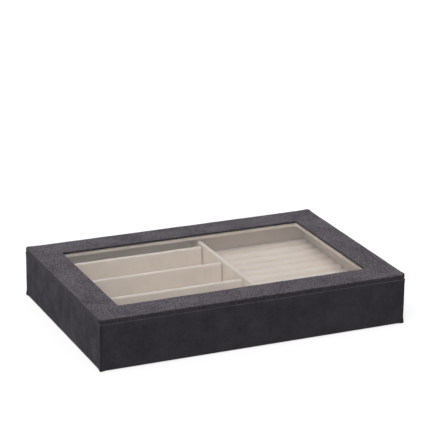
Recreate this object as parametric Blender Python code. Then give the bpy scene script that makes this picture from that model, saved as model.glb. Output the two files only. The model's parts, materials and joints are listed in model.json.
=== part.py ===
"""A jewelry organizer: a shallow suede-covered tray with fixed dividers and a bed of ring rolls,
and a lift-off framed lid with a glass window, at rest with the lid shut.

Metres, +Z up. The origin is the middle of the underside, and the front of the tray faces -Y.
Every wall and divider is a board with cloth glued round it, so most pieces come in pairs.
"""

import math

import bmesh
import bpy
from mathutils import Vector

# Tray, measured over its cloth
TRAY_WIDTH = 0.350
TRAY_DEPTH = 0.235
TRAY_HEIGHT = 0.052

# Thickness of what the pieces are cut from
SUEDE = 0.0007
FELT = 0.0008
WALL_BOARD = 0.0045
BASE_BOARD = 0.0030
LINING_BOARD = 0.0022
DIVIDER_BOARD = 0.0020
FLOOR_CARD = 0.0010
RING_CARD = 0.0010
LID_TOP_BOARD = 0.0010
GLASS = 0.0027

# Clearances
FIT = 0.0003  # between a piece and the piece it is glued to, lies on or is pushed against
LID_CLEARANCE = 0.0010  # round the lid's backing, inside the rim
FELT_INSET = 0.0030  # from the tray's outside to the edge of the felt

# Rounding of the boards' edges, which the cloth follows
WALL_EASE = 0.0010
LINING_EASE = 0.0005
DIVIDER_EASE = 0.0007
LID_EASE = 0.0005
FLOOR_EASE = 0.0002
INNER_CORNER = 0.0005  # smallest radius of a folded corner, seen from above
EDGE_STEPS = 3
CORNER_STEPS = 3
SHARP_TURN = 35  # degrees, over which an edge is drawn sharp

# Cloth turned under or down past the edge it covers
TRAY_TURN_UNDER = 0.012
RIM_TURN_DOWN = 0.012
LID_TURN_UNDER = 0.012

# Inside of the tray
LINING_DROP = 0.004  # the lining's top edge, below the rim
CENTER_DIVIDER_X = 0.023
CENTER_DIVIDER_DROP = 0.006  # below the rim
CROSS_DIVIDER_DROP = 0.008  # below the rim
CROSS_DIVIDER_LEAN = 0.0015  # taken off the right end, at the top
CROSS_DIVIDER_SHARES = (0.850, 0.591, 0.332)  # of the inside depth, from the front lining

# Ring rolls
ROLL_DIAMETER = 0.0176
ROLL_END = 0.006  # length of a roll's rounded end
ROLL_END_SHARES = (  # of the end's length and of the radius, from the tucked middle to the full roll
    (0.30, 0.12),
    (0.10, 0.36),
    (0.00, 0.56),
    (0.08, 0.76),
    (0.36, 0.93),
    (1.00, 1.00),
)
ROLL_SIDES = 16

# Lid
LID_BORDER = 0.032  # from the lid's outside to its window
LID_CORNER = 0.004
WINDOW_CORNER = 0.002
GLASS_LAP = 0.008  # of the glass over the border

# Worked out: covered thicknesses and the heights of what lies on what
COVER = SUEDE + FIT
WALL = WALL_BOARD + 2 * COVER
LINING_BACK = WALL + FIT
LINING_FACE = LINING_BACK + LINING_BOARD + COVER
INSIDE_WIDTH = TRAY_WIDTH - 2 * LINING_FACE
INSIDE_DEPTH = TRAY_DEPTH - 2 * LINING_FACE
DIVIDER = DIVIDER_BOARD + 2 * COVER
FLANGE_BOTTOM = FELT + FIT
WALL_BOTTOM = FLANGE_BOTTOM + COVER
BASE_TOP = WALL_BOTTOM + BASE_BOARD
LINING_BOTTOM = BASE_TOP + FIT
LINING_TOP = TRAY_HEIGHT - LINING_DROP
FLOOR_CARD_TOP = LINING_BOTTOM + FLOOR_CARD
FLOOR_TOP = FLOOR_CARD_TOP + COVER
FOOT = FLOOR_TOP + FIT
RING_CARD_TOP = FOOT + RING_CARD
ROLL_COUNT = int(INSIDE_DEPTH // (ROLL_DIAMETER + FIT))
ROLL_PITCH = INSIDE_DEPTH / ROLL_COUNT
LID_BOTTOM = TRAY_HEIGHT + FIT
LID_THICKNESS = GLASS + FIT + LID_TOP_BOARD + COVER
BACKING_INSET = WALL + LID_CLEARANCE

# Looks: sRGB colour, roughness
CHARCOAL_SUEDE = ((84, 79, 84), 0.95)
BEIGE_SUEDE = ((205, 188, 174), 0.95)
ROLL_SUEDE = ((220, 208, 196), 0.95)
BLACK_FELT = ((40, 38, 40), 1.0)
GREY_BOARD = ((150, 145, 138), 0.85)
CLEAR_GLASS = ((245, 250, 248), 0.03)


def clear_scene():
    for obj in list(bpy.data.objects):
        bpy.data.objects.remove(obj, do_unlink=True)


def linear(byte):
    """One sRGB channel, 0 to 255, as the linear value that a shader takes."""
    value = byte / 255
    return value / 12.92 if value <= 0.04045 else ((value + 0.055) / 1.055) ** 2.4


def finish(obj, look, transmission=0.0):
    """Gives the object its own Principled material."""
    colour, roughness = look
    material = bpy.data.materials.new(obj.name)
    material.use_nodes = True
    shader = material.node_tree.nodes["Principled BSDF"]
    shader.inputs["Base Color"].default_value = (*map(linear, colour), 1.0)
    shader.inputs["Roughness"].default_value = roughness
    shader.inputs["Metallic"].default_value = 0.0
    shader.inputs["Transmission Weight"].default_value = transmission
    obj.data.materials.append(material)


def group(name, height):
    """An empty that carries the pieces of one body."""
    empty = bpy.data.objects.new(name, None)
    empty.location = (0, 0, height)
    bpy.context.scene.collection.objects.link(empty)
    return empty


def piece(name, mesh, parent, look, location=(0, 0, 0), turn=0.0, transmission=0.0):
    """One named object from a bmesh, placed under its parent and turned about Z."""
    data = bpy.data.meshes.new(name)
    bmesh.ops.recalc_face_normals(mesh, faces=mesh.faces)
    mesh.to_mesh(data)
    mesh.free()
    data.shade_smooth()
    data.set_sharp_from_angle(angle=math.radians(SHARP_TURN))
    obj = bpy.data.objects.new(name, data)
    bpy.context.scene.collection.objects.link(obj)
    obj.parent = parent
    obj.location = location
    obj.rotation_euler = (0, 0, turn)
    finish(obj, look, transmission)
    return obj


# Outlines and the shapes drawn along them


def loft(rings, joined=False):
    """Sews each ring of points to the next, then caps the two ends or joins them to each other."""
    mesh = bmesh.new()
    sections = [[mesh.verts.new(point) for point in ring] for ring in rings]
    following = sections[1:] + (sections[:1] if joined else [])
    for near, far in zip(sections, following):
        for i in range(len(near)):
            j = (i + 1) % len(near)
            mesh.faces.new((near[i], near[j], far[j], far[i]))
    if not joined:
        mesh.faces.new(sections[0])
        mesh.faces.new(sections[-1])
    return mesh


def quarter_turn(centre, radius, start, end):
    """Points of a quarter circle, from the direction start to the direction end."""
    angles = [math.pi / 2 * step / EDGE_STEPS for step in range(EDGE_STEPS + 1)]
    return [centre + (start * math.cos(a) + end * math.sin(a)) * radius for a in angles]


def board_section(corners):
    """A closed outline from (across, height, radius) corners, square where the radius is zero."""
    points = [Vector(corner[:2]) for corner in corners]
    outline = []
    for i, (point, corner) in enumerate(zip(points, corners)):
        radius = corner[2]
        if not radius:
            outline.append(point)
            continue
        back = (points[i - 1] - point).normalized()
        ahead = (points[(i + 1) % len(points)] - point).normalized()
        outline += quarter_turn(point + (back + ahead) * radius, radius, -ahead, -back)
    return outline


def cloth_section(corners, ease):
    """The outline of cloth folded over the square turns of a board whose edges have this rounding.

    The corners are those of the cloth's outer side, listed clockwise round the board."""
    points = [Vector(corner) for corner in corners]
    runs = [(end - start).normalized() for start, end in zip(points, points[1:])]
    out = [Vector((-run.y, run.x)) for run in runs]
    outer = [points[0]]
    inner = [points[0] - out[0] * SUEDE]
    for i, corner in enumerate(points[1:-1]):
        centre = corner + (runs[i + 1] - runs[i]) * (ease + COVER)
        outer += quarter_turn(centre, ease + COVER, out[i], out[i + 1])
        inner += quarter_turn(centre, ease + FIT, out[i], out[i + 1])
    outer.append(points[-1])
    inner.append(points[-1] - out[-1] * SUEDE)
    return outer + inner[::-1]


def strip(section, length):
    """A section drawn along X."""
    return loft([[(x, across, height) for across, height in section] for x in (-length / 2, length / 2)])


def plan_point(width, depth, inset, radius, quarter, share):
    """A point on a rounded rectangle seen from above: this share of the way round one corner."""
    angle = (quarter + share) * math.pi / 2
    side_x = 1 if quarter in (0, 3) else -1
    side_y = 1 if quarter in (0, 1) else -1
    return (
        side_x * (width / 2 - inset - radius) + radius * math.cos(angle),
        side_y * (depth / 2 - inset - radius) + radius * math.sin(angle),
    )


def frame(width, depth, section, radius_at):
    """A section of (inset, height) points drawn round a rectangle, mitred round its corners."""
    return loft(
        [
            [
                (*plan_point(width, depth, inset, radius_at(inset), quarter, step / CORNER_STEPS), height)
                for inset, height in section
            ]
            for quarter in range(4)
            for step in range(CORNER_STEPS + 1)
        ],
        joined=True,
    )


def plan_ring(width, depth, inset, height, radius):
    """A rounded rectangle at one height."""
    return [
        (*plan_point(width, depth, inset, radius, quarter, step / CORNER_STEPS), height)
        for quarter in range(4)
        for step in range(CORNER_STEPS + 1)
    ]


def plate(width, depth, bottom, top, radius):
    """A flat sheet with rounded corners."""
    return loft([plan_ring(width, depth, 0, height, radius) for height in (bottom, top)])


def hood(width, depth, bottom, top, ease):
    """Cloth over the top of a board and down its sides and ends, open underneath."""
    fold = cloth_section([(0, bottom), (0, top), (COVER + ease, top)], ease)
    outside = len(fold) // 2
    corner = INNER_CORNER + COVER
    # From the sheet's underside, down inside the turned edge, and up outside it to the top
    rings = []
    for inset, height in fold[outside:] + fold[:outside]:
        smallest = min(INNER_CORNER, (depth / 2 - inset) / 2)
        rings.append(plan_ring(width, depth, inset, height, max(corner - inset, smallest)))
    return loft(rings)


def slab(length, thickness, height, ease, axes):
    """A board, centred, with its edges along the given axes rounded."""
    mesh = bmesh.new()
    bmesh.ops.create_cube(mesh, size=1)
    bmesh.ops.scale(mesh, vec=(length, thickness, height), verts=mesh.verts)
    edges = [
        edge
        for edge in mesh.edges
        if any(abs((edge.verts[1].co - edge.verts[0].co).normalized()[axis]) > 0.5 for axis in axes)
    ]
    bmesh.ops.bevel(mesh, geom=edges, offset=ease, segments=EDGE_STEPS, profile=0.5, affect="EDGES")
    return mesh


def tray_corner(inset):
    """Corner radius of the tray's cloth, seen from above."""
    return max(WALL_EASE + COVER - inset, INNER_CORNER)


def lid_corner(inset):
    """Corner radius of the lid's pieces: the window's corners beside it, else the outer corners."""
    if inset > LID_BORDER - GLASS_LAP / 2:
        return WINDOW_CORNER + LID_BORDER - inset
    return max(LID_CORNER - inset, INNER_CORNER)


def sides():
    """Each side's name, the middle of its outer face, its turn about Z, its length and its axes.

    A side's own X runs along it and its own Y points into the tray."""
    yield "front", (0, -TRAY_DEPTH / 2), 0, TRAY_WIDTH, True
    yield "right", (TRAY_WIDTH / 2, 0), math.pi / 2, TRAY_DEPTH, False
    yield "back", (0, TRAY_DEPTH / 2), math.pi, TRAY_WIDTH, True
    yield "left", (-TRAY_WIDTH / 2, 0), -math.pi / 2, TRAY_DEPTH, False


# Tray


def make_walls(tray):
    """Front and back boards run the full width, and the side boards butt between them."""
    height = TRAY_HEIGHT - COVER - WALL_BOTTOM
    for name, (x, y), turn, length, full in sides():
        inset = COVER if full else COVER + WALL_BOARD + FIT
        mesh = slab(length - 2 * inset, WALL_BOARD, height, WALL_EASE, (0, 1, 2) if full else (0,))
        bmesh.ops.translate(mesh, vec=(0, COVER + WALL_BOARD / 2, 0), verts=mesh.verts)
        piece(f"wall_{name}", mesh, tray, GREY_BOARD, (x, y, WALL_BOTTOM + height / 2), turn)


def make_base(tray):
    inset = COVER + WALL_BOARD + FIT
    board = plate(
        TRAY_WIDTH - 2 * inset, TRAY_DEPTH - 2 * inset, WALL_BOTTOM, BASE_TOP, INNER_CORNER
    )
    piece("base_board", board, tray, GREY_BOARD)
    felt = plate(TRAY_WIDTH - 2 * FELT_INSET, TRAY_DEPTH - 2 * FELT_INSET, 0, FELT, WALL_EASE)
    piece("bottom_felt", felt, tray, BLACK_FELT)


def make_outer_cover(tray):
    """One cloth: turned under the base, up the outside, over the rim and down behind the lining."""
    section = cloth_section(
        [
            (TRAY_TURN_UNDER, FLANGE_BOTTOM),
            (0, FLANGE_BOTTOM),
            (0, TRAY_HEIGHT),
            (WALL, TRAY_HEIGHT),
            (WALL, TRAY_HEIGHT - RIM_TURN_DOWN),
        ],
        WALL_EASE,
    )
    cover = frame(TRAY_WIDTH, TRAY_DEPTH, section, tray_corner)
    piece("outer_cover", cover, tray, CHARCOAL_SUEDE)


def make_lining(tray):
    """Four covered boards stand on the base against the walls, the long ones across the full width."""
    board_face = LINING_BACK + LINING_BOARD
    board_top = LINING_TOP - COVER
    board = board_section(
        [
            (LINING_BACK, LINING_BOTTOM, 0),
            (LINING_BACK, board_top, 0),
            (board_face, board_top, LINING_EASE),
            (board_face, LINING_BOTTOM, 0),
        ]
    )
    cloth = cloth_section(
        [(LINING_BACK, LINING_TOP), (LINING_FACE, LINING_TOP), (LINING_FACE, LINING_BOTTOM)],
        LINING_EASE,
    )
    for name, (x, y), turn, length, full in sides():
        run = length - 2 * (LINING_BACK if full else LINING_FACE + FIT)
        piece(f"lining_{name}_board", strip(board, run), tray, GREY_BOARD, (x, y, 0), turn)
        piece(f"lining_{name}_cover", strip(cloth, run), tray, BEIGE_SUEDE, (x, y, 0), turn)


def make_floor(tray):
    """A card with cloth over it and turned down its edges, laid between the linings."""
    width = INSIDE_WIDTH - 2 * FIT
    depth = INSIDE_DEPTH - 2 * FIT
    card = plate(
        width - 2 * COVER, depth - 2 * COVER, LINING_BOTTOM, FLOOR_CARD_TOP, INNER_CORNER
    )
    piece("floor_card", card, tray, GREY_BOARD)
    cloth = hood(width, depth, LINING_BOTTOM, FLOOR_TOP, FLOOR_EASE)
    piece("floor_cover", cloth, tray, BEIGE_SUEDE)


def make_divider(name, tray, run, drop, place, turn=0.0, lean=0.0):
    """A board on the floor with cloth over its top, sides and ends. Its right end leans back."""
    top = TRAY_HEIGHT - drop
    height = top - COVER - FOOT
    board = slab(run - 2 * COVER, DIVIDER_BOARD, height, DIVIDER_EASE, (0, 1, 2))
    bmesh.ops.translate(board, vec=(0, 0, FOOT + height / 2), verts=board.verts)
    cloth = hood(run, DIVIDER, FOOT, top, DIVIDER_EASE)
    for vertex in [*board.verts, *cloth.verts]:
        if vertex.co.x > 0:
            vertex.co.x -= lean * (vertex.co.z - FOOT) / (top - FOOT)
    piece(f"{name}_board", board, tray, GREY_BOARD, place, turn)
    piece(f"{name}_cover", cloth, tray, BEIGE_SUEDE, place, turn)


def make_dividers(tray):
    """The center divider runs from front to back, and the cross dividers from the left lining to it."""
    run = INSIDE_DEPTH - 2 * FIT
    place = (CENTER_DIVIDER_X, 0, 0)
    make_divider("center_divider", tray, run, CENTER_DIVIDER_DROP, place, math.pi / 2)
    left = -INSIDE_WIDTH / 2 + FIT
    right = CENTER_DIVIDER_X - DIVIDER / 2 - FIT
    for number, share in enumerate(CROSS_DIVIDER_SHARES, 1):
        place = ((left + right) / 2, (share - 1 / 2) * INSIDE_DEPTH, 0)
        name = f"cross_divider_{number}"
        make_divider(name, tray, right - left, CROSS_DIVIDER_DROP, place, lean=CROSS_DIVIDER_LEAN)


def roll_mesh(length):
    """A foam roll in cloth, along X: round shoulders at its ends and the cloth tucked into them.

    Its sides are turned so that one of them lies flat underneath."""
    near = [(share * ROLL_END, girth) for share, girth in ROLL_END_SHARES]
    stations = near + [(length - along, girth) for along, girth in reversed(near)]
    angles = [2 * math.pi * (side + 1 / 2) / ROLL_SIDES for side in range(ROLL_SIDES)]
    return loft(
        [
            [
                (
                    along - length / 2,
                    girth * ROLL_DIAMETER / 2 * math.sin(angle),
                    girth * ROLL_DIAMETER / 2 * math.cos(angle),
                )
                for angle in angles
            ]
            for along, girth in stations
        ]
    )


def make_ring_bed(tray):
    """A card on the floor, right of the center divider, with the rolls side by side on it."""
    left = CENTER_DIVIDER_X + DIVIDER / 2 + FIT
    right = INSIDE_WIDTH / 2 - FIT
    middle = (left + right) / 2
    card = plate(right - left, INSIDE_DEPTH - 2 * FIT, FOOT, RING_CARD_TOP, INNER_CORNER)
    piece("ring_card", card, tray, GREY_BOARD, (middle, 0, 0))
    axis = RING_CARD_TOP + FIT + ROLL_DIAMETER / 2 * math.cos(math.pi / ROLL_SIDES)
    for number in range(ROLL_COUNT):
        y = INSIDE_DEPTH / 2 - (number + 1 / 2) * ROLL_PITCH
        name = f"ring_roll_{number + 1:02d}"
        piece(name, roll_mesh(right - left), tray, ROLL_SUEDE, (middle, y, axis))


# Lid: heights are from its underside, where it lies on the rim


def lid_frame(name, lid, corners, look):
    piece(name, frame(TRAY_WIDTH, TRAY_DEPTH, board_section(corners), lid_corner), lid, look)


def make_lid_boards(lid):
    """The top board laps over the glass, and the spacer board makes the glass's pocket."""
    window = LID_BORDER - COVER
    top_board = GLASS + FIT
    top = top_board + LID_TOP_BOARD
    lid_frame(
        "lid_top_board",
        lid,
        [(COVER, top_board, 0), (COVER, top, LID_EASE), (window, top, LID_EASE), (window, top_board, 0)],
        GREY_BOARD,
    )
    pocket = LID_BORDER - GLASS_LAP - FIT
    lid_frame(
        "lid_spacer_board",
        lid,
        [(COVER, COVER, LID_EASE), (COVER, GLASS, 0), (pocket, GLASS, 0), (pocket, COVER, 0)],
        GREY_BOARD,
    )


def make_lid_cover(lid):
    """One cloth: turned under the edge, over the top and down round the window to the glass."""
    section = cloth_section(
        [
            (LID_TURN_UNDER, 0),
            (0, 0),
            (0, LID_THICKNESS),
            (LID_BORDER, LID_THICKNESS),
            (LID_BORDER, GLASS + FIT),
        ],
        LID_EASE,
    )
    cover = frame(TRAY_WIDTH, TRAY_DEPTH, section, lid_corner)
    piece("lid_cover", cover, lid, CHARCOAL_SUEDE)


def make_glass(lid):
    edge = 2 * (LID_BORDER - GLASS_LAP)
    pane = plate(TRAY_WIDTH - edge, TRAY_DEPTH - edge, 0, GLASS, INNER_CORNER)
    piece("lid_glass", pane, lid, CLEAR_GLASS, transmission=1.0)


def make_lid_backing(lid):
    """A covered frame under the glass. It drops inside the rim, just clear of the lining."""
    top = -FIT
    bottom = -LINING_DROP
    window = LID_BORDER - COVER
    outside = BACKING_INSET + COVER
    lid_frame(
        "lid_backing_board",
        lid,
        [
            (outside, bottom + COVER, LID_EASE),
            (outside, top, 0),
            (window, top, 0),
            (window, bottom + COVER, LID_EASE),
        ],
        GREY_BOARD,
    )
    section = cloth_section(
        [(LID_BORDER, top), (LID_BORDER, bottom), (BACKING_INSET, bottom), (BACKING_INSET, top)],
        LID_EASE,
    )
    cover = frame(TRAY_WIDTH, TRAY_DEPTH, section, lid_corner)
    piece("lid_backing_cover", cover, lid, BEIGE_SUEDE)


def main():
    clear_scene()
    tray = group("tray", 0)
    make_walls(tray)
    make_base(tray)
    make_outer_cover(tray)
    make_lining(tray)
    make_floor(tray)
    make_dividers(tray)
    make_ring_bed(tray)
    lid = group("lid", LID_BOTTOM)
    make_lid_boards(lid)
    make_lid_cover(lid)
    make_glass(lid)
    make_lid_backing(lid)


main()
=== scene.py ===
import json
import math

import bmesh
import bpy
from mathutils import Matrix, Vector


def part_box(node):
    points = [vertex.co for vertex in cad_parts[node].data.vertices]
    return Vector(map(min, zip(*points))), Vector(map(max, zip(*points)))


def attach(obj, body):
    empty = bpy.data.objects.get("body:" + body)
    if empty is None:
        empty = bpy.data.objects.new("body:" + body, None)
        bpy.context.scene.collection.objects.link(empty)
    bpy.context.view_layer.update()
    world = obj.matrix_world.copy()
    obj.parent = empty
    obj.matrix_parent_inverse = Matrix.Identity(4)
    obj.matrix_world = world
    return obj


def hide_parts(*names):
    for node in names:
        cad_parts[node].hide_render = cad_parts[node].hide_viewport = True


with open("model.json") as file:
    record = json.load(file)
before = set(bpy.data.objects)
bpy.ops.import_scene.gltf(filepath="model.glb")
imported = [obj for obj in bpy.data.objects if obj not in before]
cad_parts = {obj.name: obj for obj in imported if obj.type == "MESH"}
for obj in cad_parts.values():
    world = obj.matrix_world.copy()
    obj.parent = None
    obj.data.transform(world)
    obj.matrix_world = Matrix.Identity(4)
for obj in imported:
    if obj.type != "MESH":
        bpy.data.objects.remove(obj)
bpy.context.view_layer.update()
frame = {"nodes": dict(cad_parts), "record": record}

# Sizes of the cloth and its folds, in metres
SUEDE = 0.0007  # thickness of the cloth
RIM = 0.0065  # covered thickness of the tray's wall
RIM_FOLD = 0.0014  # outer radius, as for every fold here
RIM_TURN_DOWN = 0.012
TRAY_TURN_UNDER = 0.012
LID_BORDER = 0.032  # from the lid's outside to its window
LID_FOLD = 0.0011
LID_CORNER = 0.0045
LID_TURN_UNDER = 0.012
WINDOW_CORNER = 0.0020
WINDOW_GAP = 0.0003  # between the cloth's turned edge and the glass
NEAR_WINDOW = 0.006  # from here to the window, corners follow the window's
BACKING_INSET = 0.0075  # from the lid's outside to the frame under the glass
LINING_TURN_DOWN = 0.006  # behind the lining board
DIVIDER_LEAN = 0.0015  # taken off the right end of a cross divider, at the top
FLOOR_FOLD = 0.0012
FLOOR_CORNER = 0.0015
DIVIDER_CORNER = 0.0015
SMALLEST_CORNER = 0.0005

# How finely the cloth is divided
TURN_STEPS = 6
CLOTH_STEP = 0.005
CORNER_TURNS = (0, 15, 30, 38, 41.5, 45, 48.5, 52, 60, 75, 90)  # degrees
BESIDE_CORNER = 0.0008  # to a straight side's first point, at most a quarter of the side
SHARP_TURN = 50  # degrees, over which an edge is drawn sharp
SAME_PLACE = 0.000001  # points closer than this are one

# How far glued cloth lies from true, and over what distance
UNEVENNESS = 0.0003
LINING_UNEVENNESS = 0.00025
DIVIDER_UNEVENNESS = 0.0004
BACKING_UNEVENNESS = 0.0002
UNEVEN_SPREAD = 0.02
ROLL_UNEVEN_SPREAD = 0.025

# Hand work at the corners
SEAM_DEPTH = 0.0005
SEAM_WIDTH = 0.0010  # to each side of the line
SEAM_PLACE = 0.0008  # from the corner, round onto the long side
TUCK = 0.0011  # how far the cloth folded under each lower corner stands out
TUCK_REACH = 0.0045  # along the wall
TUCK_RISE = 0.0028  # up the wall
TUCK_UNDER = 0.006  # in under the tray
PINCH = 0.0005  # how far the rim's corners stand out
PINCH_REACH = 0.003
PINCH_DROP = 0.002  # down from the rim
LID_EAR = 0.0006  # how far the lid's corners stand out
LID_EAR_REACH = 0.007
LID_EDGE_REACH = 0.005  # of the ears and pleats, in from the lid's edge
PLEAT = 0.00018
PLEAT_PITCH = 0.0024
PLEAT_REACH = 0.006

# Ring rolls
ROLL_COUNT = 12
ROLL_VOXEL = 0.0021
ROLL_SIDES = 28
ROLL_RING_STEP = 0.003
ROLL_SHOULDER = (  # distance from the end, and the share of the radius there
    (0.0008, 0.28),
    (0.0002, 0.50),
    (0.0, 0.68),
    (0.0004, 0.86),
    (0.0012, 0.96),
    (0.0028, 1.0),
)
ROLL_SLACK = 0.0004  # the roll starts this much thinner, and its filling swells it
ROLL_PRESSURE = 4.0
ROLL_FRAMES = 20  # of the simulation
ROLL_MOST_MOVE = 0.0014
ROLL_PLEATS = 13
ROLL_PLEAT_DEPTH = 0.0003
ROLL_PLEAT_PLACE = 0.003  # from the end, where the pleats are deepest
ROLL_PLEAT_REACH = 0.003
ROLL_TOUCH = 0.00004  # from each roll to the line halfway to its neighbour

# What the pane mirrors, by the direction that a reflection takes: its height, from 0 level to 1
# straight up, and its product with CARD_ACROSS
CARD_ACROSS = (1.111, 0.037, -1.420)  # square to the card's slanting edges
CARD_LEFT_EDGE = (0.012, 0.070)  # from light to grey
CARD_RIGHT_EDGE = (0.083, 0.133)  # from grey to white
CARD_LIGHT = 0.77  # beside its left edge
CARD_SHADE = 0.52
CARD_RISE = (0.18, 0.24)  # from the white walls up to the card
CARD_TOP = (0.29, 0.32)  # from the card up to the ceiling
CEILING_SHADE = 0.4

# Light
ROOM_LIGHT = 0.64
FLOOR_REACH = 20  # metres from the middle to each side
FLOOR_PAINT = (0.34, 0.34, 0.34, 1)
FLOOR_GLOW = 0.72  # added to the paint for what looks at the floor
WHITE = (1, 1, 1, 1)
SOFTBOX_STRENGTH = 1.55
SOFTBOX_SPREAD = 50  # degrees
SOFTBOX_TILT = (26, -28, 0)  # degrees

# Camera: degrees round from the front, up, and rolled
CAMERA_ANGLES = (-23.97, 18.87, 0.63)
TRAY_IN_VIEW = (-0.00340, -0.10366, -2.14526)  # the tray's origin, to the camera's right, up and back
PHOTO_WIDTH = 430
FOCAL_LENGTH = 1948.21  # in the photograph's pixels
SENSOR_WIDTH = 36  # millimetres

# Colours, sRGB: dark, light, and paler at the folds, partly wear and partly a painted highlight
TRAY_CHARCOAL = ((36, 34, 38), (67, 64, 69), (88, 84, 90))
LID_CHARCOAL = ((22, 20, 24), (74, 70, 75), (96, 92, 97))
BEIGE = ((217, 202, 190), (229, 214, 203), (232, 222, 214))
# pinker than BEIGE; the rolls' tops are made cooler, so this pink stays on their sides as painted
# warm shade
ROLL_BEIGE = ((219, 198, 183), (229, 209, 195), (232, 222, 214))
BOARD_GREY = ((128, 123, 116), (160, 155, 147))
FELT_BLACK = ((26, 25, 27), (50, 48, 51))
# darker corner seams: partly a dark joint, partly painted shade in the seam's groove
SEAM_SHADE = (24, 22, 25)

# Suede
SMOOTH_NAP = {"sheen": 0.1, "strokes": 0.2, "pile": 0.4, "relief": 0.6}
NAP_LEAN = (8, -14, 20)  # degrees, the way the nap is brushed
NAP_RELIEF = 0.0006
STROKE_SIZE = 0.0042
GRAIN_SIZE = 0.0016
FIBRE_SIZE = 0.00034
FIBRE_TONE = 0.16  # what single fibres add or take off at most
DARK_TO_LIGHT = (0.4, 0.6)  # of the pattern
GRAIN_SPAN = (0.3, 0.7)  # of the grain, from its hollows to its tips
WEAR_AND_HIGHLIGHT_SHARE = (0.25, 0.75)  # of the fold colour at a fold, by the grain: partly wear, partly painted highlight
NAP_ROUGHNESS = (0.86, 1.0)
SEAM_SHADE_STRENGTH = 0.8
FACES_ASIDE = (0.3, 0.8)  # of the way that a face points, from slanting to upright
FACES_UP = (0.6, 0.95)  # the same, from slanting to level

# Board, felt and glass
PULP_SIZE = 0.004
FLECK_SIZE = 0.0007
FLECK_RELIEF = 0.0003
BOARD_SPAN = (0.35, 0.65)  # of the pattern, from dark to light
FLECK_SPAN = (0.3, 0.7)  # of the flecks, from smoother to rougher
BOARD_ROUGHNESS = (0.75, 0.95)
FELT_PATCH_SIZE = 0.006
FELT_FIBRE_SIZE = 0.0006
FELT_RELIEF = 0.0005
FELT_SPAN = (0.38, 0.7)  # of the pattern, from dark to light
FELT_FIBRE_SPAN = (0.4, 0.7)  # of the fibres, from smoother to rougher
FELT_ROUGHNESS = (0.9, 1.0)
WIPE_SIZE = 0.02
WIPE_SPAN = (0.4, 0.7)  # of the wiping, from smoother to rougher
WIPE_ROUGHNESS = (0.0, 0.015)
GLASS_TINT = (0.985, 0.99, 0.985, 1)
GLASS_SHADOW = (0.93, 0.95, 0.94, 1)  # the light that the pane lets through


# Small tools for node trees


def node(tree, kind, own=(), inputs=()):
    """A node of this kind, with its own settings, and with values or links for its inputs."""
    made = tree.nodes.new(kind)
    for name, value in dict(own).items():
        setattr(made, name, value)
    for key, value in dict(inputs).items():
        feed(tree, made.inputs[key], value)
    return made


def feed(tree, socket, value):
    """Links this value to the socket, or sets it there."""
    if isinstance(value, bpy.types.NodeSocket):
        tree.links.new(value, socket)
    else:
        socket.default_value = value


def linear(colour):
    """An sRGB colour, 0 to 255, as the linear one that a shader takes."""
    shares = [byte / 255 for byte in colour]
    return (*(s / 12.92 if s <= 0.04045 else ((s + 0.055) / 1.055) ** 2.4 for s in shares), 1.0)


def maths(tree, operation, first, second):
    """Two values or links, added, multiplied and so on."""
    made = node(tree, "ShaderNodeMath", own={"operation": operation}, inputs={0: first, 1: second})
    return made.outputs[0]


def weighed(tree, *parts):
    """The sum of patterns, each given with its share."""
    total = maths(tree, "MULTIPLY", *parts[0])
    for part, share in parts[1:]:
        total = maths(tree, "ADD", total, maths(tree, "MULTIPLY", part, share))
    return total


# Geometry Nodes that lay cloth and repeat pieces


def geometry_tree(name, sockets):
    """A tree with named inputs, and {label: identifier} to set them by."""
    tree = bpy.data.node_groups.new(name, "GeometryNodeTree")
    tree.is_modifier = True
    tree.interface.new_socket("Geometry", in_out="INPUT", socket_type="NodeSocketGeometry")
    identifiers = {}
    for label, kind, value in sockets:
        socket = tree.interface.new_socket(label, in_out="INPUT", socket_type=kind)
        if value is not None:
            socket.default_value = value
        identifiers[label] = socket.identifier
    tree.interface.new_socket("Geometry", in_out="OUTPUT", socket_type="NodeSocketGeometry")
    return tree, identifiers


def close_tree(tree, geometry, material):
    """Ends a tree: every copy made real, and its material set."""
    real = node(tree, "GeometryNodeRealizeInstances", inputs={"Geometry": geometry})
    finished = node(
        tree,
        "GeometryNodeSetMaterial",
        inputs={"Geometry": real.outputs["Geometry"], "Material": material},
    )
    node(tree, "NodeGroupOutput", inputs={"Geometry": finished.outputs["Geometry"]})


def hand_laid_tree():
    """Moves each point a little, as cloth glued down by hand lies a little uneven."""
    tree, identifiers = geometry_tree(
        "hand laid cloth",
        [
            ("Unevenness", "NodeSocketFloat", UNEVENNESS),
            ("Spread", "NodeSocketFloat", UNEVEN_SPREAD),
            ("Seed", "NodeSocketFloat", 1.0),
            ("Cloth", "NodeSocketMaterial", None),
        ],
    )
    given = node(tree, "NodeGroupInput").outputs
    place = node(tree, "GeometryNodeInputPosition").outputs[0]
    fineness = maths(tree, "DIVIDE", 1.0, given["Spread"])
    wave = node(
        tree,
        "ShaderNodeTexNoise",
        own={"noise_dimensions": "4D"},
        inputs={"Vector": place, "W": given["Seed"], "Scale": fineness, "Detail": 2.0},
    )
    centred = node(
        tree,
        "ShaderNodeVectorMath",
        own={"operation": "SUBTRACT"},
        inputs={0: wave.outputs["Color"], 1: (0.5, 0.5, 0.5)},
    )
    shift = node(
        tree,
        "ShaderNodeVectorMath",
        own={"operation": "SCALE"},
        inputs={0: centred.outputs[0], "Scale": maths(tree, "MULTIPLY", given["Unevenness"], 2.0)},
    )
    moved = node(
        tree,
        "GeometryNodeSetPosition",
        inputs={"Geometry": given["Geometry"], "Offset": shift.outputs[0]},
    )
    close_tree(tree, moved.outputs["Geometry"], given["Cloth"])
    return tree, identifiers


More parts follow.
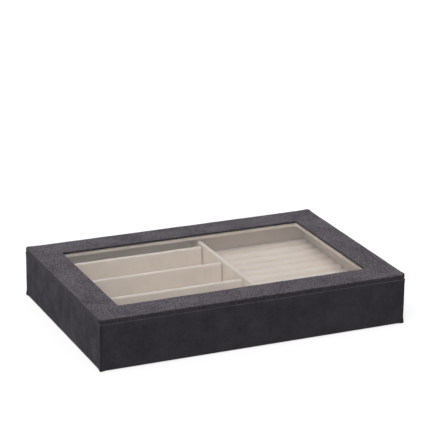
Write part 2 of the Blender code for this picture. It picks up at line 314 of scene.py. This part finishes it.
def row_tree():
    """Repeats a piece along a straight row, each one turned about Z from the last."""
    tree, identifiers = geometry_tree(
        "row of pieces",
        [
            ("Count", "NodeSocketInt", 3),
            ("Step", "NodeSocketVector", (0, 0, 0)),
            ("Turn", "NodeSocketFloat", 0.0),
            ("Cloth", "NodeSocketMaterial", None),
        ],
    )
    given = node(tree, "NodeGroupInput").outputs
    row = node(
        tree,
        "GeometryNodeMeshLine",
        own={"mode": "OFFSET"},
        inputs={"Count": given["Count"], "Offset": given["Step"]},
    )
    place_in_row = node(tree, "GeometryNodeInputIndex").outputs[0]
    turned = node(
        tree,
        "ShaderNodeCombineXYZ",
        inputs={"Z": maths(tree, "MULTIPLY", place_in_row, given["Turn"])},
    )
    turn = node(tree, "FunctionNodeEulerToRotation", inputs={0: turned.outputs[0]})
    copies = node(
        tree,
        "GeometryNodeInstanceOnPoints",
        inputs={
            "Points": row.outputs[0],
            "Instance": given["Geometry"],
            "Rotation": turn.outputs[0],
        },
    )
    close_tree(tree, copies.outputs[0], given["Cloth"])
    return tree, identifiers


HAND_LAID = hand_laid_tree()
ROW = row_tree()


def settle(obj):
    """Turns the object's modifiers into its plain mesh."""
    graph = bpy.context.evaluated_depsgraph_get()
    mesh = bpy.data.meshes.new_from_object(
        obj.evaluated_get(graph), preserve_all_data_layers=True, depsgraph=graph
    )
    obj.modifiers.clear()
    old = obj.data
    obj.data = mesh
    bpy.data.meshes.remove(old)
    return obj


def apply_tree(obj, made, **values):
    """Runs one of these trees on the object, with its inputs set by their labels."""
    tree, identifiers = made
    modifier = obj.modifiers.new(tree.name, "NODES")
    modifier.node_group = tree
    for label, value in values.items():
        modifier[identifiers[label]] = value
    return settle(obj)


# Materials


def pattern(tree, coordinates, size, detail=2.0, stretch=(1, 1, 1), turn=(0, 0, 0)):
    """Noise with features of this size in metres, stretched and turned as told."""
    placed = node(
        tree,
        "ShaderNodeMapping",
        inputs={
            "Vector": coordinates,
            "Rotation": tuple(math.radians(angle) for angle in turn),
            "Scale": tuple(1 / (size * share) for share in stretch),
        },
    )
    made = node(
        tree,
        "ShaderNodeTexNoise",
        inputs={"Vector": placed.outputs[0], "Scale": 1.0, "Detail": detail, "Roughness": 0.55},
    )
    return made.outputs["Fac"]


def ranged(tree, value, low, high, to_low, to_high, curve="LINEAR"):
    """The value moved from the range low to high into the range to_low to to_high, and kept there."""
    made = node(
        tree,
        "ShaderNodeMapRange",
        own={"interpolation_type": curve},
        inputs={
            "Value": value,
            "From Min": low,
            "From Max": high,
            "To Min": to_low,
            "To Max": to_high,
        },
    )
    return made.outputs["Result"]


def mixed(tree, share, first, second):
    """The first colour, with this share of the second mixed into it."""
    made = node(
        tree,
        "ShaderNodeMix",
        own={"data_type": "RGBA"},
        inputs={"Factor": share, "A": first, "B": second},
    )
    return made.outputs["Result"]


def new_material(name):
    """A material, its node tree and its shader."""
    material = bpy.data.materials.new(name)
    material.use_nodes = True
    tree = material.node_tree
    return material, tree, tree.nodes["Principled BSDF"]


def suede(name, colours, sheen, strokes, pile, relief, upward=None, calm=(1.0, 1.0), cloud=0.030):
    """Brushed suede: cloudy patches, strokes of the nap, a fine pile and paler folds.

    Strokes and pile are shares of the pattern, and cloud is a patch's size in metres. The folds are
    paler, partly from wear and partly as a painted highlight, and the corner seams darker, partly a
    dark joint and partly painted shade in their grooves. Where the cloth faces up, upward multiplies
    the colour: painted light or shade on the tops, by how light falls on them. The long sides and
    the ends keep only the two shares calm of the pattern's contrast."""
    dark, light, fold = colours
    material, tree, shader = new_material(name)
    given = node(tree, "ShaderNodeTexCoord").outputs
    coordinates = given["Object"]
    clouds = pattern(tree, coordinates, cloud, 4.0)
    brushed = pattern(tree, coordinates, STROKE_SIZE, 3.0, (1, 1, 7), NAP_LEAN)
    grain = pattern(tree, coordinates, GRAIN_SIZE, 3.0)
    fibre = pattern(tree, coordinates, FIBRE_SIZE, 2.0, (1, 1, 3), NAP_LEAN)
    tone = weighed(tree, (clouds, 1 - strokes - pile), (brushed, strokes), (grain, pile))
    tone = maths(tree, "ADD", tone, ranged(tree, fibre, 0.0, 1.0, -FIBRE_TONE, FIBRE_TONE))
    facing = node(tree, "ShaderNodeSeparateXYZ", inputs={0: given["Normal"]}).outputs
    for axis, kept in zip("YX", calm):
        sideways = maths(tree, "ABSOLUTE", facing[axis], 0.0)
        contrast = ranged(tree, sideways, *FACES_ASIDE, 1.0, kept)
        from_middle = maths(tree, "SUBTRACT", tone, 0.5)
        tone = maths(tree, "ADD", 0.5, maths(tree, "MULTIPLY", from_middle, contrast))
    lightness = ranged(tree, tone, *DARK_TO_LIGHT, 0, 1)
    shade = mixed(tree, lightness, linear(dark), linear(light))
    # Painted light and shade: faces that point up are made lighter or darker by upward, as light
    # falls on them.
    if upward:
        painted_top_light = node(
            tree,
            "ShaderNodeVectorMath",
            own={"operation": "MULTIPLY"},
            inputs={0: shade, 1: upward},
        )
        top_light_share = ranged(tree, facing["Z"], *FACES_UP, 0, 1)
        shade = mixed(tree, top_light_share, shade, painted_top_light.outputs[0])
    # Paler folds: partly wear, partly a painted highlight on the rounded edges.
    folds = node(tree, "ShaderNodeAttribute", own={"attribute_name": "fold"}).outputs["Fac"]
    wear_and_highlight = maths(tree, "MULTIPLY", folds, ranged(tree, grain, *GRAIN_SPAN, *WEAR_AND_HIGHLIGHT_SHARE))
    shade = mixed(tree, wear_and_highlight, shade, linear(fold))
    # Darker corner seams: partly a dark joint, partly painted shade in the seam's groove.
    seams = node(tree, "ShaderNodeAttribute", own={"attribute_name": "seam"}).outputs["Fac"]
    shade = mixed(tree, maths(tree, "MULTIPLY", seams, SEAM_SHADE_STRENGTH), shade, linear(SEAM_SHADE))
    feed(tree, shader.inputs["Base Color"], shade)
    feed(tree, shader.inputs["Roughness"], ranged(tree, grain, *GRAIN_SPAN, *NAP_ROUGHNESS))
    height = weighed(tree, (brushed, 0.45), (grain, 0.3), (fibre, 0.25))
    bump = node(
        tree,
        "ShaderNodeBump",
        inputs={"Strength": relief, "Distance": NAP_RELIEF, "Height": height},
    )
    feed(tree, shader.inputs["Normal"], bump.outputs[0])
    shader.inputs["Specular IOR Level"].default_value = 0.08
    shader.inputs["Sheen Weight"].default_value = sheen
    shader.inputs["Sheen Roughness"].default_value = 0.45
    shader.inputs["Sheen Tint"].default_value = linear(fold)
    return material


def board(name, colours):
    """Grey board: pressed paper fibre with darker flecks."""
    dark, light = colours
    material, tree, shader = new_material(name)
    coordinates = node(tree, "ShaderNodeTexCoord").outputs["Object"]
    pulp = pattern(tree, coordinates, PULP_SIZE, 4.0)
    flecks = pattern(tree, coordinates, FLECK_SIZE, 2.0, (3, 1, 1))
    tone = weighed(tree, (pulp, 0.6), (flecks, 0.4))
    shade = mixed(tree, ranged(tree, tone, *BOARD_SPAN, 0, 1), linear(dark), linear(light))
    feed(tree, shader.inputs["Base Color"], shade)
    feed(tree, shader.inputs["Roughness"], ranged(tree, flecks, *FLECK_SPAN, *BOARD_ROUGHNESS))
    bump = node(
        tree,
        "ShaderNodeBump",
        inputs={"Strength": 0.2, "Distance": FLECK_RELIEF, "Height": flecks},
    )
    feed(tree, shader.inputs["Normal"], bump.outputs[0])
    shader.inputs["Specular IOR Level"].default_value = 0.2
    return material


def felt(name, colours):
    """Black felt: matted fibres running every way."""
    dark, light = colours
    material, tree, shader = new_material(name)
    coordinates = node(tree, "ShaderNodeTexCoord").outputs["Object"]
    patches = pattern(tree, coordinates, FELT_PATCH_SIZE, 3.0)
    one_way = pattern(tree, coordinates, FELT_FIBRE_SIZE, 2.0, (6, 1, 1), (0, 0, 25))
    other_way = pattern(tree, coordinates, FELT_FIBRE_SIZE, 2.0, (1, 6, 1), (0, 0, -10))
    fibres = maths(tree, "MAXIMUM", one_way, other_way)
    tone = weighed(tree, (patches, 0.4), (fibres, 0.6))
    shade = mixed(tree, ranged(tree, tone, *FELT_SPAN, 0, 1), linear(dark), linear(light))
    feed(tree, shader.inputs["Base Color"], shade)
    roughness = ranged(tree, fibres, *FELT_FIBRE_SPAN, *FELT_ROUGHNESS)
    feed(tree, shader.inputs["Roughness"], roughness)
    bump = node(
        tree,
        "ShaderNodeBump",
        inputs={"Strength": 0.4, "Distance": FELT_RELIEF, "Height": fibres},
    )
    feed(tree, shader.inputs["Normal"], bump.outputs[0])
    shader.inputs["Specular IOR Level"].default_value = 0.1
    shader.inputs["Sheen Weight"].default_value = 0.3
    return material


def window_glass(name):
    """Clear float glass with a breath of green. Lamps shine through it."""
    material, tree, shader = new_material(name)
    coordinates = node(tree, "ShaderNodeTexCoord").outputs["Object"]
    wiping = pattern(tree, coordinates, WIPE_SIZE, 3.0, (3, 1, 1), (0, 0, 30))
    feed(tree, shader.inputs["Roughness"], ranged(tree, wiping, *WIPE_SPAN, *WIPE_ROUGHNESS))
    shader.inputs["Base Color"].default_value = GLASS_TINT
    shader.inputs["Transmission Weight"].default_value = 1.0
    shader.inputs["IOR"].default_value = 1.45
    rays = node(tree, "ShaderNodeLightPath").outputs
    clear = node(tree, "ShaderNodeBsdfTransparent", inputs={"Color": GLASS_SHADOW})
    both = node(
        tree,
        "ShaderNodeMixShader",
        inputs={0: rays["Is Shadow Ray"], 1: shader.outputs[0], 2: clear.outputs[0]},
    )
    feed(tree, tree.nodes["Material Output"].inputs["Surface"], both.outputs[0])
    return material


tray_suede = suede(
    "charcoal suede, tray",
    TRAY_CHARCOAL,
    sheen=0.9,
    strokes=0.12,
    pile=0.33,
    relief=0.8,
    calm=(0.34, 1.0),
    cloud=0.018,
)
lid_suede = suede(
    "charcoal suede, lid",
    LID_CHARCOAL,
    sheen=1.0,
    strokes=0.08,
    pile=0.72,
    relief=0.9,
    # the lid's top is painted 2.1 times lighter than its sides: painted light and sheen
    upward=(2.1, 2.1, 2.1),
    calm=(0.4, 0.4),
)
# upward: faces that point up painted paler and cooler, as painted light
beige_suede = suede("beige suede", BEIGE, **SMOOTH_NAP, upward=(0.96, 1.05, 1.11))
# upward: the linings' tops painted a little darker, as painted shade
lining_suede = suede("beige suede, linings", BEIGE, **SMOOTH_NAP, upward=(0.86, 0.94, 1.03))
floor_suede = suede("beige suede, floor", BEIGE, **SMOOTH_NAP)
# upward: the rolls' tops painted lighter and cooler than their pinker sides, as painted light and
# warm shade
roll_suede = suede("pale suede on the rolls", ROLL_BEIGE, **SMOOTH_NAP, upward=(1.0, 1.1, 1.2))
grey_board = board("grey board", BOARD_GREY)
black_felt = felt("black felt", FELT_BLACK)
clear_glass = window_glass("clear glass")


# Cloth outlines, and the shapes they are carried along


def folded(corners, radius):
    """The outline of a sheet folded over square turns, along its outer side and back inside.

    The corners are (across, height) on the outer side, clockwise round the board. Each point
    found is (across, height, outward across, outward height, share of a fold)."""
    corners = [Vector(corner) for corner in corners]
    runs = [(end - start).normalized() for start, end in zip(corners, corners[1:])]
    outs = [Vector((-run.y, run.x)) for run in runs]
    points = []
    place = corners[0]
    for i, run in enumerate(runs):
        last = i == len(runs) - 1
        end = corners[i + 1] - (Vector((0, 0)) if last else run * radius)
        count = max(1, round((end - place).length / CLOTH_STEP))
        points += [(place.lerp(end, k / count), outs[i], 0.0) for k in range(count)]
        if last:
            points.append((end, outs[i], 0.0))
            continue
        centre = end - outs[i] * radius
        for k in range(TURN_STEPS):
            angle = math.pi / 2 * k / TURN_STEPS
            out = outs[i] * math.cos(angle) + outs[i + 1] * math.sin(angle)
            points.append((centre + out * radius, out, math.sin(2 * angle)))
        place = centre + outs[i + 1] * radius
    inner = [(point - out * SUEDE, out, share) for point, out, share in reversed(points)]
    return [(p.x, p.y, out.x, out.y, share) for p, out, share in points + inner]


def round_rectangle(half_x, half_y, radius, across, along):
    """(x, y, outward) round a rectangle seen from above, always with the same number of points."""
    found = []
    signs = ((1, 1), (-1, 1), (-1, -1), (1, -1))
    for corner, (side_x, side_y) in enumerate(signs):
        centre = Vector((side_x * (half_x - radius), side_y * (half_y - radius)))
        for turn in CORNER_TURNS:
            angle = math.radians(corner * 90 + turn)
            away = Vector((math.cos(angle), math.sin(angle)))
            found.append((centre + away * radius, away))
        next_x, next_y = signs[(corner + 1) % 4]
        start = found[-1][0]
        end = Vector((next_x * (half_x - radius), next_y * (half_y - radius))) + away * radius
        count = across if corner % 2 == 0 else along
        beside = BESIDE_CORNER / max((end - start).length, 4 * BESIDE_CORNER)
        shares = [beside, *(k / count for k in range(1, count)), 1 - beside]
        found += [(start.lerp(end, share), away) for share in shares]
    return found


def skin(mesh, rings, ends_closed):
    """Faces between each ring of points and the next, and over both ends if told."""
    for ring, following in zip(rings, rings[1:]):
        for i in range(len(ring)):
            j = (i + 1) % len(ring)
            mesh.faces.new((ring[i], ring[j], following[j], following[i]))
    if ends_closed:
        mesh.faces.new(rings[0])
        mesh.faces.new(rings[-1])


def carried_round(low, high, outline, radius_at, shape=None, joined=True, capped=False, seam=0.0):
    """The outline carried round a rectangle. Its across runs inwards from the rectangle's sides.

    The shape and the seam are told how far a point lies beside the corner, which is more than
    0 on the long sides. Where the cloth is cut at the corners, seam is half that line's width."""
    mesh = bmesh.new()
    folds = mesh.verts.layers.float.new("fold")
    seams = mesh.verts.layers.float.new("seam")
    middle = (low + high) / 2
    half = (high - low) / 2
    across = max(2, round(2 * half.x / CLOTH_STEP))
    along = max(1, round(2 * half.y / CLOTH_STEP))
    rings = []
    for inset, height, out_across, out_up, share in outline:
        room = min(half.x, half.y) - inset
        corner = min(radius_at(inset), room)
        plan = round_rectangle(half.x - inset, half.y - inset, corner, across, along)
        ring = []
        for place, away in plan:
            outward = Vector((-away.x * out_across, -away.y * out_across, out_up))
            beside = (half.x - abs(place.x)) - (half.y - abs(place.y))
            rise = shape(beside, inset, height, outward) if shape else 0.0
            point = Vector((middle.x + place.x, middle.y + place.y, height)) + outward * rise
            vertex = mesh.verts.new(point)
            vertex[folds] = share
            vertex[seams] = max(0.0, 1 - abs(beside - SEAM_PLACE) / seam) if seam else 0.0
            ring.append(vertex)
        rings.append(ring)
    skin(mesh, rings + rings[:1] if joined else rings, capped)
    return mesh


def carried_along(start, end, inward, outline):
    """The outline carried along a straight run. Its across runs inward, and its height up."""
    mesh = bmesh.new()
    folds = mesh.verts.layers.float.new("fold")
    count = max(1, round((end - start).length / CLOTH_STEP))
    sections = []
    for k in range(count + 1):
        base = start.lerp(end, k / count)
        section = []
        for across, height, _, _, share in outline:
            vertex = mesh.verts.new(base + inward * across + Vector((0, 0, height)))
            vertex[folds] = share
            section.append(vertex)
        sections.append(section)
    skin(mesh, sections, True)
    return mesh


def new_piece(name, mesh):
    """An object at the origin from a bmesh, its doubles merged and its faces turned outwards."""
    bmesh.ops.remove_doubles(mesh, verts=mesh.verts, dist=SAME_PLACE)
    bmesh.ops.recalc_face_normals(mesh, faces=mesh.faces)
    data = bpy.data.meshes.new(name)
    mesh.to_mesh(data)
    mesh.free()
    data.shade_smooth()
    data.set_sharp_from_angle(angle=math.radians(SHARP_TURN))
    obj = bpy.data.objects.new(name, data)
    bpy.context.scene.collection.objects.link(obj)
    return obj


def lay_cloth(obj, material, seed, unevenness=UNEVENNESS, spread=UNEVEN_SPREAD):
    """Lays the cloth as a hand does, a little uneven, and gives it its material."""
    return apply_tree(
        obj, HAND_LAID, Unevenness=unevenness, Spread=spread, Seed=float(seed), Cloth=material
    )


def place_piece(obj, body, slot, *nodes):
    """Puts a piece on its body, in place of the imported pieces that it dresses."""
    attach(obj, body)
    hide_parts(*nodes)


def near(distance, reach):
    """1 at no distance, fading smoothly to nothing at about twice the reach."""
    return math.exp(-((distance / reach) ** 2))


# Tray


def make_tray_cloth():
    """One cloth from under the base, up the outside, over the rim and down behind the lining."""
    low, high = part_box("outer_cover")

    def corner_work(beside, inset, height, outward):
        seam = -SEAM_DEPTH * max(0.0, 1 - abs(beside - SEAM_PLACE) / SEAM_WIDTH)
        tuck = TUCK * near(beside, TUCK_REACH) * near(height - low.z, TUCK_RISE)
        pinch = PINCH * near(beside, PINCH_REACH) * near(high.z - height, PINCH_DROP)
        return seam + tuck * near(inset, TUCK_UNDER) + pinch

    outline = folded(
        [
            (TRAY_TURN_UNDER, low.z),
            (0, low.z),
            (0, high.z),
            (RIM, high.z),
            (RIM, high.z - RIM_TURN_DOWN),
        ],
        RIM_FOLD,
    )
    mesh = carried_round(
        low,
        high,
        outline,
        lambda inset: max(RIM_FOLD - inset, SMALLEST_CORNER),
        corner_work,
        seam=SEAM_WIDTH,
    )
    cloth = lay_cloth(new_piece("tray_cloth", mesh), tray_suede, 1)
    place_piece(cloth, "tray", "charcoal_suede", "outer_cover")


def make_lining_cloths():
    """Cloth over the top and the face of each lining board."""
    sides = {"front": (0, 1), "right": (-1, 0), "back": (0, -1), "left": (1, 0)}
    for seed, (side, inward) in enumerate(sides.items(), 10):
        low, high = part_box(f"lining_{side}_cover")
        inward = Vector((*inward, 0))
        runs_across = inward.x == 0
        depth = (high.y - low.y) if runs_across else (high.x - low.x)
        back = Vector((low.x if inward.x >= 0 else high.x, low.y if inward.y >= 0 else high.y, 0))
        far = back + Vector((high.x - low.x, 0, 0) if runs_across else (0, high.y - low.y, 0))
        outline = folded(
            [(0, high.z - LINING_TURN_DOWN), (0, high.z), (depth, high.z), (depth, low.z)], depth / 2
        )
        mesh = carried_along(back, far, inward, outline)
        cloth = new_piece(f"lining_{side}_cloth", mesh)
        lay_cloth(cloth, lining_suede, seed, LINING_UNEVENNESS)
        place_piece(cloth, "tray", "beige_suede", f"lining_{side}_cover")


def make_floor_cloth():
    """Cloth over the floor card and down its edges."""
    low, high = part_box("floor_cover")
    edge = folded([(0, low.z), (0, high.z), (FLOOR_FOLD, high.z)], FLOOR_FOLD)
    outside = len(edge) // 2
    mesh = carried_round(
        low,
        high,
        edge[outside:] + edge[:outside],
        lambda inset: FLOOR_CORNER - inset / 2,
        joined=False,
        capped=True,
    )
    cloth = lay_cloth(new_piece("floor_cloth", mesh), floor_suede, 20, 0.0)
    place_piece(cloth, "tray", "beige_suede", "floor_cover")


def divider_mesh(low, high):
    """Cloth over the top, sides and ends of a divider, with a full round top."""
    thickness = min(high.x - low.x, high.y - low.y)
    edge = folded([(0, low.z), (0, high.z), (thickness / 2, high.z)], thickness / 2)
    outside = len(edge) // 2
    return carried_round(
        low,
        high,
        edge[outside:] + edge[:outside],
        lambda inset: max(DIVIDER_CORNER - inset, 0.0),
        joined=False,
    )


def make_divider_cloths():
    """The centre divider's cloth, and a cross divider's, laid out three times."""
    low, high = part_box("center_divider_cover")
    cloth = new_piece("center_divider_cloth", divider_mesh(low, high))
    lay_cloth(cloth, beige_suede, 30, DIVIDER_UNEVENNESS)
    place_piece(cloth, "tray", "beige_suede", "center_divider_cover")
    low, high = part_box("cross_divider_1_cover")
    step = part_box("cross_divider_2_cover")[0] - low
    mesh = divider_mesh(low, high)
    for vertex in mesh.verts:
        share = (vertex.co.x - low.x) / (high.x - low.x)
        vertex.co.x -= DIVIDER_LEAN * share * (vertex.co.z - low.z) / (high.z - low.z)
    names = [f"cross_divider_{number}_cover" for number in (1, 2, 3)]
    cloths = new_piece("cross_divider_cloths", mesh)
    apply_tree(cloths, ROW, Count=len(names), Step=step, Cloth=beige_suede)
    lay_cloth(cloths, beige_suede, 31, DIVIDER_UNEVENNESS)
    place_piece(cloths, "tray", "beige_suede", *names)


# Ring rolls


def roll_shape(length, radius):
    """A round roll along X with soft shoulders and its cloth tucked into the ends."""
    stations = [(inset - length / 2, share) for inset, share in ROLL_SHOULDER]
    run = length / 2 - ROLL_SHOULDER[-1][0]
    count = round(2 * run / ROLL_RING_STEP)
    stations += [(-run + 2 * run * k / count, 1.0) for k in range(1, count)]
    stations += [(length / 2 - inset, share) for inset, share in reversed(ROLL_SHOULDER)]
    angles = [2 * math.pi * k / ROLL_SIDES for k in range(ROLL_SIDES)]
    mesh = bmesh.new()
    rings = []
    for x, share in stations:
        girth = share * radius
        rings.append([mesh.verts.new((x, girth * math.cos(a), girth * math.sin(a))) for a in angles])
    skin(mesh, rings, True)
    return new_piece("ring_rolls", mesh)


def swell(roll):
    """Lets the roll's filling swell its cloth, each point moving no further than a cap."""
    scene = bpy.context.scene
    before = [vertex.co.copy() for vertex in roll.data.vertices]
    cloth = roll.modifiers.new("Cloth", "CLOTH").settings
    cloth.quality = 6
    cloth.mass = 0.2
    cloth.tension_stiffness = 12
    cloth.compression_stiffness = 8
    cloth.bending_stiffness = 0.3
    cloth.use_pressure = True
    cloth.uniform_pressure_force = ROLL_PRESSURE
    cloth.effector_weights.gravity = 0
    for number in range(1, ROLL_FRAMES + 1):
        scene.frame_set(number)
    settle(roll)
    scene.frame_set(1)
    for vertex, start in zip(roll.data.vertices, before):
        move = vertex.co - start
        if move.length > ROLL_MOST_MOVE:
            vertex.co = start + move.normalized() * ROLL_MOST_MOVE


def make_ring_rolls():
    """One roll, swelled and pleated, and laid out in a row, each turned half round."""
    low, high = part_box("ring_roll_01")
    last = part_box("ring_roll_12")[0]
    pitch = (low.y - last.y) / (ROLL_COUNT - 1)
    middle = (low + high) / 2
    length = high.x - low.x
    radius = (high.z - low.z) / 2
    roll = roll_shape(length - 2 * ROLL_SLACK, radius - ROLL_SLACK)
    remesh = roll.modifiers.new("Remesh", "REMESH")
    remesh.mode = "VOXEL"
    remesh.voxel_size = ROLL_VOXEL
    settle(roll)
    swell(roll)
    smooth = roll.modifiers.new("Subdivision", "SUBSURF")
    smooth.levels = smooth.render_levels = 1
    settle(roll)
    widest = max(abs(vertex.co.y) for vertex in roll.data.vertices)
    for vertex in roll.data.vertices:
        x, y, z = vertex.co
        from_end = length / 2 - abs(x)
        angle = math.atan2(z, y)
        pleat = ROLL_PLEAT_DEPTH * math.sin(ROLL_PLEATS * angle + 3 * math.sin(2 * angle))
        girth = 1 + pleat / radius * near(from_end - ROLL_PLEAT_PLACE, ROLL_PLEAT_REACH)
        y = y * girth * (pitch / 2 - ROLL_TOUCH) / widest
        z = z * girth * radius / widest
        y = max(-pitch / 2 + ROLL_TOUCH, min(pitch / 2 - ROLL_TOUCH, y))
        z = max(-radius, min(radius, z))
        vertex.co = (max(-length / 2, min(length / 2, x)), y, z)
    apply_tree(roll, ROW, Count=ROLL_COUNT, Step=(0, -pitch, 0), Turn=math.pi, Cloth=roll_suede)
    roll.data.transform(Matrix.Translation(middle))
    lay_cloth(roll, roll_suede, 40, spread=ROLL_UNEVEN_SPREAD)
    roll.data.shade_smooth()
    names = [f"ring_roll_{number:02d}" for number in range(1, ROLL_COUNT + 1)]
    place_piece(roll, "tray", "roll_suede", *names)


# Lid


def lid_corner(inset):
    """Corner radius of the lid's cloths: the window's corners near it, else the outer ones."""
    if inset > LID_BORDER - NEAR_WINDOW:
        return WINDOW_CORNER + LID_BORDER - inset
    return max(LID_CORNER - inset, SMALLEST_CORNER)


def make_lid_cloth():
    """One cloth: turned under the edge, over the top and down round the window to the glass."""
    low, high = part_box("lid_cover")
    glass_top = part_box("lid_glass")[1].z

    def corner_work(beside, inset, height, outward):
        edge = near(inset, LID_EDGE_REACH) * max(0.0, min(1.0, outward.z + 1))
        ear = LID_EAR * near(beside, LID_EAR_REACH)
        pleat = PLEAT * math.sin(2 * math.pi * abs(beside) / PLEAT_PITCH) * near(beside, PLEAT_REACH)
        return (ear + pleat) * edge

    outline = folded(
        [
            (LID_TURN_UNDER, low.z),
            (0, low.z),
            (0, high.z),
            (LID_BORDER, high.z),
            (LID_BORDER, glass_top + WINDOW_GAP),
        ],
        LID_FOLD,
    )
    mesh = carried_round(low, high, outline, lid_corner, corner_work)
    cloth = lay_cloth(new_piece("lid_cloth", mesh), lid_suede, 50)
    place_piece(cloth, "lid", "charcoal_suede", "lid_cover")


def make_backing_cloth():
    """Cloth round the frame under the glass."""
    low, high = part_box("lid_backing_cover")
    out_low, out_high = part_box("lid_cover")
    outline = folded(
        [
            (LID_BORDER, high.z),
            (LID_BORDER, low.z),
            (BACKING_INSET, low.z),
            (BACKING_INSET, high.z),
        ],
        LID_FOLD,
    )
    mesh = carried_round(out_low, out_high, outline, lid_corner)
    cloth = lay_cloth(new_piece("backing_cloth", mesh), beige_suede, 60, BACKING_UNEVENNESS)
    place_piece(cloth, "lid", "beige_suede", "lid_backing_cover")


def finish_packed_pieces():
    """The finishes of the boards, the felt and the glass, which stay as they were packed."""
    looks = {"grey_board": grey_board, "black_felt": black_felt, "clear_glass": clear_glass}
    for part in frame["record"]["subparts"]:
        look = looks.get(part["material_slot"])
        if look:
            for slot in frame["nodes"][part["node"]].material_slots:
                slot.material = look


# Floor, light and camera


def white_for_the_eye(tree):
    """1 for what the camera, a reflection or glass looks at, and 0 for what light falls from."""
    rays = node(tree, "ShaderNodeLightPath").outputs
    seen = maths(tree, "MAXIMUM", rays["Is Camera Ray"], rays["Is Glossy Ray"])
    return maths(tree, "MAXIMUM", seen, rays["Is Transmission Ray"])


def make_floor():
    """A pale floor that looks white and keeps the object's shadow."""
    mesh = bmesh.new()
    bmesh.ops.create_grid(mesh, x_segments=1, y_segments=1, size=FLOOR_REACH)
    floor = new_piece("floor", mesh)
    material = bpy.data.materials.new("pale floor")
    material.use_nodes = True
    tree = material.node_tree
    tree.nodes.remove(tree.nodes["Principled BSDF"])
    paint = node(tree, "ShaderNodeBsdfDiffuse", inputs={"Color": FLOOR_PAINT})
    glow = node(tree, "ShaderNodeEmission", inputs={"Color": WHITE, "Strength": FLOOR_GLOW})
    seen = node(
        tree,
        "ShaderNodeMixShader",
        inputs={0: white_for_the_eye(tree), 2: glow.outputs[0]},
    )
    both = node(tree, "ShaderNodeAddShader", inputs={0: paint.outputs[0], 1: seen.outputs[0]})
    feed(tree, tree.nodes["Material Output"].inputs["Surface"], both.outputs[0])
    floor.data.materials.append(material)


def studio_in_the_glass(tree):
    """What the pane mirrors: white walls, a soft grey card standing aslant, and a grey ceiling."""
    direction = node(tree, "ShaderNodeTexCoord").outputs["Generated"]
    up = node(tree, "ShaderNodeSeparateXYZ", inputs={0: direction}).outputs["Z"]
    across = node(
        tree,
        "ShaderNodeVectorMath",
        own={"operation": "DOT_PRODUCT"},
        inputs={0: direction, 1: CARD_ACROSS},
    ).outputs["Value"]
    card = maths(
        tree,
        "MAXIMUM",
        ranged(tree, across, *CARD_LEFT_EDGE, CARD_LIGHT, CARD_SHADE, "SMOOTHSTEP"),
        ranged(tree, across, *CARD_RIGHT_EDGE, CARD_SHADE, 1.0, "SMOOTHSTEP"),
    )
    upper = ranged(tree, up, *CARD_TOP, card, CEILING_SHADE)
    return ranged(tree, up, *CARD_RISE, 1.0, upper)


def make_world():
    """Even light from all round, and white behind the object."""
    world = bpy.data.worlds.new("studio")
    bpy.context.scene.world = world
    world.use_nodes = True
    tree = world.node_tree
    light = tree.nodes["Background"]
    light.inputs["Color"].default_value = WHITE
    light.inputs["Strength"].default_value = ROOM_LIGHT
    rays = node(tree, "ShaderNodeLightPath").outputs
    backdrop = node(
        tree,
        "ShaderNodeMix",
        own={"data_type": "FLOAT"},
        inputs={"Factor": rays["Is Glossy Ray"], "A": 1.0, "B": studio_in_the_glass(tree)},
    )
    white = node(
        tree,
        "ShaderNodeBackground",
        inputs={"Color": WHITE, "Strength": backdrop.outputs["Result"]},
    )
    both = node(
        tree,
        "ShaderNodeMixShader",
        inputs={0: white_for_the_eye(tree), 1: light.outputs[0], 2: white.outputs[0]},
    )
    feed(tree, tree.nodes["World Output"].inputs["Surface"], both.outputs[0])


def make_lamp():
    """A wide soft light high up, from the front and the left."""
    lamp = bpy.data.lights.new("overhead softbox", "SUN")
    lamp.energy = SOFTBOX_STRENGTH
    lamp.angle = math.radians(SOFTBOX_SPREAD)
    obj = bpy.data.objects.new("overhead softbox", lamp)
    obj.rotation_euler = [math.radians(angle) for angle in SOFTBOX_TILT]
    bpy.context.scene.collection.objects.link(obj)


def make_camera():
    """Where the photograph was taken from, found from the tray's corners and outlines."""
    azimuth, elevation, roll = map(math.radians, CAMERA_ANGLES)
    tray = Vector(TRAY_IN_VIEW)
    back = Vector(
        (
            math.sin(azimuth) * math.cos(elevation),
            -math.cos(azimuth) * math.cos(elevation),
            math.sin(elevation),
        )
    )
    level = Vector((0, 0, 1)).cross(back).normalized()
    upward = back.cross(level)
    right = level * math.cos(roll) + upward * math.sin(roll)
    up = upward * math.cos(roll) - level * math.sin(roll)
    data = bpy.data.cameras.new("camera")
    data.sensor_width = SENSOR_WIDTH
    data.lens = SENSOR_WIDTH * FOCAL_LENGTH / PHOTO_WIDTH
    data.clip_end = 100
    camera = bpy.data.objects.new("camera", data)
    place = Matrix((right, up, back)).transposed().to_4x4()
    place.translation = -(right * tray.x + up * tray.y + back * tray.z)
    camera.matrix_world = place
    bpy.context.scene.collection.objects.link(camera)
    bpy.context.scene.camera = camera


make_camera()
make_tray_cloth()
make_lining_cloths()
make_floor_cloth()
make_divider_cloths()
make_ring_rolls()
make_lid_cloth()
make_backing_cloth()
finish_packed_pieces()
make_floor()
make_world()
make_lamp()
bpy.context.scene.view_settings.view_transform = "Standard"
